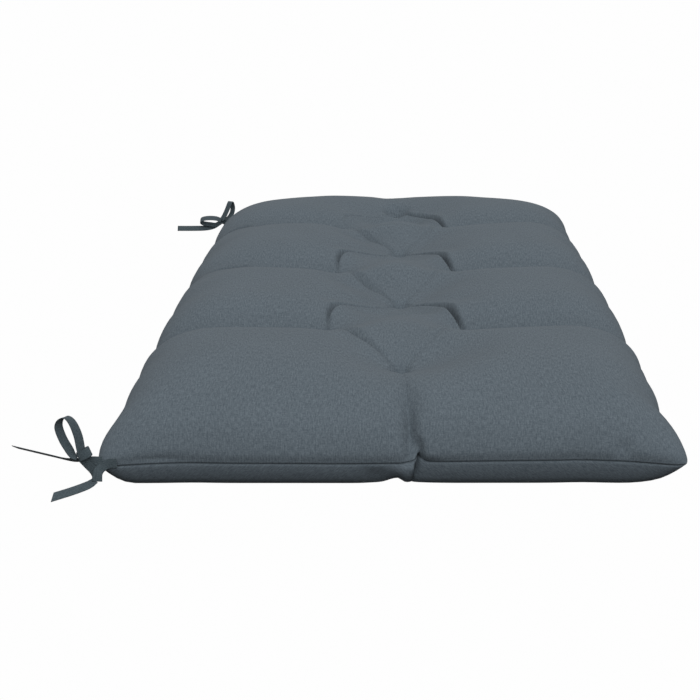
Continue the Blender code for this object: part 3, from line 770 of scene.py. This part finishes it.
# %% [markdown]
# ## The cover's cloth: woven polyester
#
# Garden cushions are covered in a plain weave of spun polyester. Its yarns are 0.5 mm apart, but no two are
# dyed or spun quite alike, so from a step away the eye sees a soft heather of short streaks along both
# threads rather than the weave. The yarns themselves are finer than a pixel here, so they are drawn 1.3 mm
# apart, with slubs of 5 mm, which is their real length. Three noises, two of them stretched along the
# threads, make one height, and that drives the colour as well as the bump, since raised yarn catches the
# light. The cloth is matt: it is rough, with little gloss and a trace of sheen from its loose fibre ends.

# %% The cover's cloth
YARN = 0.0013  # distance between the drawn yarns
SLUB = 0.0050  # length of a slub
WARP_SHARE, LINT_SHARE = 0.68, 0.35  # of the weave's height: warp against weft, and lint against both
COVER_LIGHT, COVER_DARK = "707b83", "545e66"
WEAVE_LOW, WEAVE_HIGH = 0.35, 0.65  # heights of the weave that are wholly dark and wholly light
PATCH, PATCH_LOW, PATCH_HIGH = 0.06, 0.975, 1.025  # size of the paler and darker patches, and their tones
PAINTED_SHADE_TONE = 0.55  # tone of cloth whose share of painted shade is 1
GLOSS, SHEEN_ROUGHNESS = 0.12, 0.6


def woven(name, light, dark, yarn, slub, relief, roughness, sheen):
    """A plain weave: one heathered height of warp, weft and lint drives both the colour and the bump."""
    material = bpy.data.materials.new(name)
    material.use_nodes = True
    tree = material.node_tree
    shader = tree.nodes["Principled BSDF"]
    cloth = add_node(tree, "ShaderNodeUVMap", {"uv_map": "cloth"}).outputs[0]
    warp = thread_noise(tree, cloth, yarn, slub)
    weft = thread_noise(tree, cloth, slub, yarn)
    lint = thread_noise(tree, cloth, yarn, yarn)
    crossed = add_node(tree, "ShaderNodeMix", n0=WARP_SHARE, n2=weft, n3=warp).outputs[0]
    weave = add_node(tree, "ShaderNodeMix", n0=LINT_SHARE, n2=crossed, n3=lint).outputs[0]
    ramp = add_node(tree, "ShaderNodeMapRange", n0=weave, n1=WEAVE_LOW, n2=WEAVE_HIGH).outputs[0]
    dark, light = to_linear(dark), to_linear(light)
    colour = add_node(tree, "ShaderNodeMix", {"data_type": "RGBA"}, n0=ramp, n6=dark, n7=light).outputs[2]
    patch = thread_noise(tree, cloth, PATCH, PATCH, detail=3.0)
    worn = add_node(tree, "ShaderNodeMapRange", n0=patch, n1=0.3, n2=0.7, n3=PATCH_LOW, n4=PATCH_HIGH)
    # painted shade: this attribute darkens the colour in seams, folds, valleys and along the tape's edges
    painted_shade = add_node(tree, "ShaderNodeAttribute", {"attribute_name": "painted_shade"}).outputs[2]
    shade = add_node(tree, "ShaderNodeMapRange", n0=painted_shade, n1=0.0, n2=1.0, n3=1.0, n4=PAINTED_SHADE_TONE)
    tone = add_node(
        tree, "ShaderNodeMath", {"operation": "MULTIPLY"}, n0=worn.outputs[0], n1=shade.outputs[0]
    ).outputs[0]
    toned = add_node(tree, "ShaderNodeVectorMath", {"operation": "SCALE"}, n0=colour, Scale=tone)
    tree.links.new(toned.outputs[0], shader.inputs["Base Color"])
    bump = add_node(tree, "ShaderNodeBump", Strength=1.0, Distance=relief, Height=weave)
    tree.links.new(bump.outputs[0], shader.inputs["Normal"])
    shader.inputs["Roughness"].default_value = roughness
    shader.inputs["Specular IOR Level"].default_value = GLOSS
    shader.inputs["Sheen Weight"].default_value = sheen
    shader.inputs["Sheen Roughness"].default_value = SHEEN_ROUGHNESS
    shader.inputs["IOR"].default_value = 1.5
    return material


cover_cloth = woven(
    "woven_polyester_cover", COVER_LIGHT, COVER_DARK, YARN, SLUB, relief=0.0003, roughness=0.95, sheen=0.04
)
cover.data.materials.append(cover_cloth)
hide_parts("cushion")
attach(cover, "root")
print("material", cover_cloth.name)

# %% [markdown]
# ## The ties
#
# Each tie is one narrow woven tape, sewn into the seam at a corner and knotted in a bow. A tape bends easily
# across its flat side and hardly at all edgeways, so every strand is a route with a direction across it, and
# the surface is swept along that route. Strands are in millimetres from their corner of the cushion.

# %% The routes of the ties
TAPE_WIDTH = 0.0085
TAPE_THICKNESS = 0.0009
TAPE_STEPS = 9  # cross-sections between two points of a route

NEAR_TIE = {
    "sewn_end": (
        # x, y, z, across x, across y, across z
        (17.0, -1.0, 23.2, 0.00, 0.00, 1.00),
        (10.0, -1.1, 22.8, -0.05, 0.00, 1.00),
        (4.6, -3.6, 20.6, -0.55, 0.00, 0.80),
        (1.6, -6.6, 16.6, -0.90, -0.05, 0.35),
        (1.2, -8.4, 9.8, -1.00, -0.05, 0.05),
    ),
    "strap": (
        (0.8, -4.8, 12.8, 0.80, -0.10, 0.55),
        (-1.8, -4.6, 18.0, 0.80, -0.10, 0.55),
        (-6.3, -5.0, 23.6, 0.80, -0.10, 0.55),
        (-10.5, -5.6, 29.0, 0.80, -0.10, 0.55),
    ),
    "neck": (
        (5.2, -2.8, 25.6, 0.00, 0.10, 1.00),
        (-0.8, -3.8, 26.4, 0.10, 0.00, 1.00),
        (-6.8, -4.8, 27.6, 0.20, -0.30, 0.90),
        (-13.0, -5.6, 29.4, 0.30, -0.50, 0.80),
    ),
    "bow_up": (
        (-14.8, -6.0, 30.0, -0.50, -0.85, 0.10),
        (-18.2, -6.0, 32.2, -0.50, -0.85, 0.10),
        (-21.2, -6.0, 37.6, -0.70, -0.71, 0.10),
        (-25.8, -6.0, 47.0, -0.70, -0.71, 0.10),
        (-28.6, -6.2, 57.6, -0.66, -0.75, 0.10),
        (-26.4, -6.3, 64.0, -0.46, -0.88, 0.10),
        (-21.6, -6.4, 65.8, -0.40, -0.91, 0.10),
        (-16.8, -6.4, 61.0, -0.56, -0.82, 0.05),
        (-13.0, -6.2, 50.0, -0.70, -0.71, 0.05),
        (-11.4, -6.0, 38.0, -0.70, -0.71, 0.10),
        (-10.6, -6.0, 31.2, -0.50, -0.85, 0.10),
    ),
    "bow_short": (
        (-13.5, -8.0, 31.4, 0.32, -0.10, -0.93),
        (-9.4, -9.2, 33.4, 0.36, -0.10, -0.93),
        (-5.4, -8.6, 35.6, 0.40, -0.10, -0.92),
        (-3.6, -6.2, 36.6, 0.40, -0.10, -0.92),
        (-5.2, -3.8, 35.4, 0.40, -0.10, -0.92),
        (-9.2, -3.2, 32.8, 0.36, -0.10, -0.93),
        (-13.0, -4.6, 30.2, 0.32, -0.10, -0.93),
    ),
    "long_tail": (
        (-12.5, -5.2, 28.4, 0.72, 0.445, -0.53),
        (-24.0, 5.5, 24.0, 0.72, 0.445, -0.53),
        (-46.0, 34.0, 17.0, 0.72, 0.445, -0.53),
        (-69.0, 62.5, 10.4, 0.72, 0.445, -0.53),
        (-92.6, 91.0, 4.0, 0.72, 0.445, -0.53),
    ),
    "lower_tail": (
        (-0.6, -6.8, 10.4, -0.05, 0.85, 0.50),
        (-3.6, -8.6, 8.4, -0.05, 0.85, 0.50),
        (-8.0, -11.4, 6.8, -0.05, 0.85, 0.50),
        (-18.0, -18.0, 5.0, -0.05, 0.85, 0.50),
        (-32.7, -27.4, 3.2, -0.05, 0.85, 0.50),
    ),
}
FAR_TIE = {
    "sewn_end": (
        (17.0, 0.6, 24.2, 0.00, 0.00, 1.00),
        (8.0, 0.9, 24.4, 0.00, 0.00, 1.00),
        (0.0, 2.6, 26.4, 0.10, 0.00, 1.00),
        (-6.0, 2.8, 29.4, 0.35, -0.25, 0.90),
        (-11.0, 2.0, 32.0, 0.40, -0.50, 0.80),
    ),
    "bow_left": (
        (-11.5, 1.5, 32.6, 0.00, -0.77, -0.64),
        (-18.0, -1.5, 35.8, 0.00, -0.77, -0.64),
        (-29.0, -2.9, 36.7, 0.00, -0.77, -0.64),
        (-38.6, -1.5, 34.8, 0.00, -0.77, -0.64),
        (-42.0, 2.0, 30.8, 0.00, -0.77, -0.64),
        (-37.6, 5.2, 27.0, 0.00, -0.77, -0.64),
        (-28.0, 6.6, 25.2, 0.00, -0.77, -0.64),
        (-19.0, 7.0, 24.4, 0.00, -0.77, -0.64),
        (-11.0, 4.4, 28.8, 0.00, -0.77, -0.64),
    ),
    "bow_up": (
        (-10.6, 2.0, 32.8, 0.86, -0.50, 0.10),
        (-6.4, 1.8, 38.4, 0.86, -0.50, 0.10),
        (-1.0, 1.6, 49.6, 0.86, -0.50, 0.10),
        (2.2, 1.8, 57.4, 0.88, -0.46, 0.05),
        (3.8, 4.2, 60.4, 0.90, -0.42, 0.00),
        (5.2, 8.0, 57.4, 0.88, -0.46, -0.05),
        (6.2, 9.6, 50.4, 0.86, -0.50, -0.05),
        (5.0, 9.4, 43.0, 0.86, -0.50, 0.00),
        (1.6, 8.4, 37.0, 0.86, -0.50, 0.00),
        (-4.0, 6.4, 32.8, 0.80, -0.58, 0.00),
        (-9.6, 4.6, 31.2, 0.80, -0.58, 0.00),
    ),
    "tail": (
        (-10.0, 4.6, 30.4, 0.00, 0.60, 0.80),
        (-16.0, 7.6, 26.0, 0.00, 0.60, 0.80),
        (-24.0, 7.6, 21.8, 0.00, 0.60, 0.80),
        (-36.0, 5.0, 19.9, 0.00, 0.60, 0.80),
        (-54.0, 4.0, 19.6, 0.00, 0.60, 0.80),
        (-77.0, 4.0, 19.6, 0.00, 0.60, 0.80),
    ),
}


# %% The surface of a tape
CUT_SLANTS = {"lower_tail": -0.70}  # how far an end is cut askew: run along the tape for each metre across
CUT_REACH = 0.007  # and the length of tape that is drawn along with it
SECTION_POINTS = 16
SECTION_WIDE, SECTION_THICK = 0.55, 0.45  # powers of the section: below 1 it is fuller than an ellipse
EDGE_SHADE_START = 0.90  # share of the half width from which the painted shade along the edges starts


def smooth_route(rows, steps):
    """A Catmull-Rom curve through the rows: a cubic between each two, with the slope of their neighbours."""
    values = np.array(rows)
    values[:, :3] *= MM
    padded = np.concatenate([[2 * values[0] - values[1]], values, [2 * values[-1] - values[-2]]])
    t = (np.arange(steps) / steps)[None, :, None]
    before, start, end, after = (padded[n : n + len(values) - 1][:, None, :] for n in range(4))
    pull = (-(t**3) + 2 * t**2 - t) * before + (t**3 - t**2) * after
    hold = (3 * t**3 - 5 * t**2 + 2) * start + (-3 * t**3 + 4 * t**2 + t) * end
    return np.concatenate([((pull + hold) / 2).reshape(-1, values.shape[1]), values[-1:]])


def tape(rows, corner, slant):
    """A flat section swept along a route: width times cos, thickness times sin, each to a power under 1."""
    found = smooth_route(rows, TAPE_STEPS)
    centres = found[:, :3]
    runs = np.gradient(centres, axis=0)
    runs /= np.linalg.norm(runs, axis=1, keepdims=True)
    across = found[:, 3:] - (found[:, 3:] * runs).sum(axis=1, keepdims=True) * runs
    across /= np.linalg.norm(across, axis=1, keepdims=True)
    face = np.cross(runs, across)
    turn = np.linspace(0.0, 2.0 * math.pi, SECTION_POINTS + 1)[:-1]
    wide = np.sign(np.cos(turn)) * np.abs(np.cos(turn)) ** SECTION_WIDE * TAPE_WIDTH / 2
    thick = np.sign(np.sin(turn)) * np.abs(np.sin(turn)) ** SECTION_THICK * TAPE_THICKNESS / 2
    offset = across[:, None, :] * wide[None, :, None] + face[:, None, :] * thick[None, :, None]
    arc = np.concatenate([[0.0], np.cumsum(np.linalg.norm(np.diff(centres, axis=0), axis=1))])
    near_cut = slant * np.clip(1.0 - (arc[-1] - arc) / CUT_REACH, 0.0, 1.0)
    offset += runs[:, None, :] * (near_cut[:, None] * wide[None, :])[..., None]
    points = centres[:, None, :] + offset + np.array([*corner, 0.0])
    return points, wide, arc


def tie_mesh(name, routes, corner):
    """The strands of one tie in one mesh, each a closed sweep with a cap at either end."""
    all_points, all_faces, all_uv = [], [], []
    first = 0
    for strand, rows in routes.items():
        points, wide, arc = tape(rows, corner, CUT_SLANTS.get(strand, 0.0))
        stations, ring = points.shape[:2]
        number = first + np.arange(stations * ring).reshape(stations, ring)
        here, there = number[:-1], number[1:]
        side = np.stack([here, np.roll(here, -1, 1), np.roll(there, -1, 1), there], -1).reshape(-1, 4)
        pairs = np.arange(ring // 2 - 1)
        cap = np.stack([pairs, pairs + 1, ring - 2 - pairs, ring - 1 - pairs], -1)
        all_points.append(points.reshape(-1, 3))
        all_faces += np.concatenate([side, number[0][cap[:, ::-1]], number[-1][cap]]).tolist()
        all_uv.append(np.stack(np.broadcast_arrays(wide[None, :], arc[:, None]), -1).reshape(-1, 2))
        first += stations * ring
    uv = np.concatenate(all_uv)
    piece = new_piece(name, np.concatenate(all_points), all_faces, uv)
    # painted shade along the tape's edges
    edge_shade = np.clip((np.abs(uv[:, 0]) / (TAPE_WIDTH / 2) - EDGE_SHADE_START) / (1.0 - EDGE_SHADE_START), 0.0, 1.0)
    attribute = piece.data.attributes.new("painted_shade", "FLOAT", "POINT")
    attribute.data.foreach_set("value", edge_shade.astype(np.float32))
    return piece


near_tie = tie_mesh("near_tie_tape", NEAR_TIE, (-WIDTH / 2, -LENGTH / 2))
far_tie = tie_mesh("far_tie_tape", FAR_TIE, (-WIDTH / 2, LENGTH / 2))
print("tie faces", len(near_tie.data.polygons), len(far_tie.data.polygons))

# %% [markdown]
# ## The tape's cloth
#
# The tape is a narrow weave of the same fibre, a little darker and greener than the cover. Its yarns are
# about 0.4 mm apart and are drawn 0.8 mm apart, again because finer ones wouldn't show. Its edges are
# darkened with painted shade, carried by the same attribute as the cover's.

# %% The tape's cloth
TAPE_YARN = 0.0008
TAPE_SLUB = 0.0030
TAPE_LIGHT, TAPE_DARK = "5d696f", "3e4a50"

tape_cloth = woven(
    "woven_polyester_tape",
    TAPE_LIGHT,
    TAPE_DARK,
    TAPE_YARN,
    TAPE_SLUB,
    relief=0.0002,
    roughness=0.85,
    sheen=0.10,
)
for piece, node in ((near_tie, "tie_near"), (far_tie, "tie_far")):
    piece.data.materials.append(tape_cloth)
    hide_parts(node)
    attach(piece, "root")

# %% [markdown]
# ## The studio
#
# The cushion lies in a white tent: light comes evenly from the whole sky and hardly any from below, which is
# why its top has one tone and its near side falls into shade only under the seam. A large lamp, high up in
# front, gives the little modelling there is. The floor is as white as the page, and neither lights the cloth
# nor takes its shadow.

# %% The floor
FLOOR_HALF = 30.0
PAGE = 0.99  # brightness of the page

floor_mesh = bpy.data.meshes.new("floor")
floor_corners = [(FLOOR_HALF * sx, FLOOR_HALF * sy, 0.0) for sx, sy in ((-1, -1), (1, -1), (1, 1), (-1, 1))]
floor_mesh.from_pydata(floor_corners, [], [(0, 1, 2, 3)])
floor = bpy.data.objects.new("floor", floor_mesh)
bpy.context.scene.collection.objects.link(floor)
paper = bpy.data.materials.new("white_paper")
paper.use_nodes = True
page = paper.node_tree.nodes["Principled BSDF"].inputs
page["Base Color"].default_value = (0.0, 0.0, 0.0, 1.0)
page["Specular IOR Level"].default_value = 0.0
page["Emission Color"].default_value = (1.0, 1.0, 1.0, 1.0)
page["Emission Strength"].default_value = PAGE
floor_mesh.materials.append(paper)
floor.visible_diffuse = False
floor.visible_glossy = False
print("floor", 2 * FLOOR_HALF, "m wide")

# %% The lamp and the sky
SKY = 0.535  # strength of the sky, and of what comes from below
BELOW = 0.03
HORIZON = 0.05  # half height of the soft step between them
LAMP_PLACE = Vector((4.0, -14.0, 14.5))
LAMP_SIZE = 15.0
LAMP_POWER = 1850.0

lamp = bpy.data.lights.new("front_lamp", "AREA")
lamp.shape = "SQUARE"
lamp.size = LAMP_SIZE
lamp.energy = LAMP_POWER
holder = bpy.data.objects.new("front_lamp", lamp)
holder.location = LAMP_PLACE
holder.rotation_euler = (-LAMP_PLACE).to_track_quat("-Z", "Y").to_euler()
bpy.context.scene.collection.objects.link(holder)

world = bpy.data.worlds.new("white_tent")
world.use_nodes = True
sky = world.node_tree
direction = add_node(sky, "ShaderNodeTexCoord").outputs["Generated"]
up = add_node(sky, "ShaderNodeSeparateXYZ", n0=direction).outputs[2]
fade = add_node(sky, "ShaderNodeMapRange", n0=up, n1=-HORIZON, n2=HORIZON, n3=BELOW, n4=SKY).outputs[0]
sky.nodes["Background"].inputs[0].default_value = (1.0, 1.0, 1.0, 1.0)
sky.links.new(fade, sky.nodes["Background"].inputs[1])
bpy.context.scene.world = world
print("lamp", round(LAMP_PLACE.length, 1), "m away")
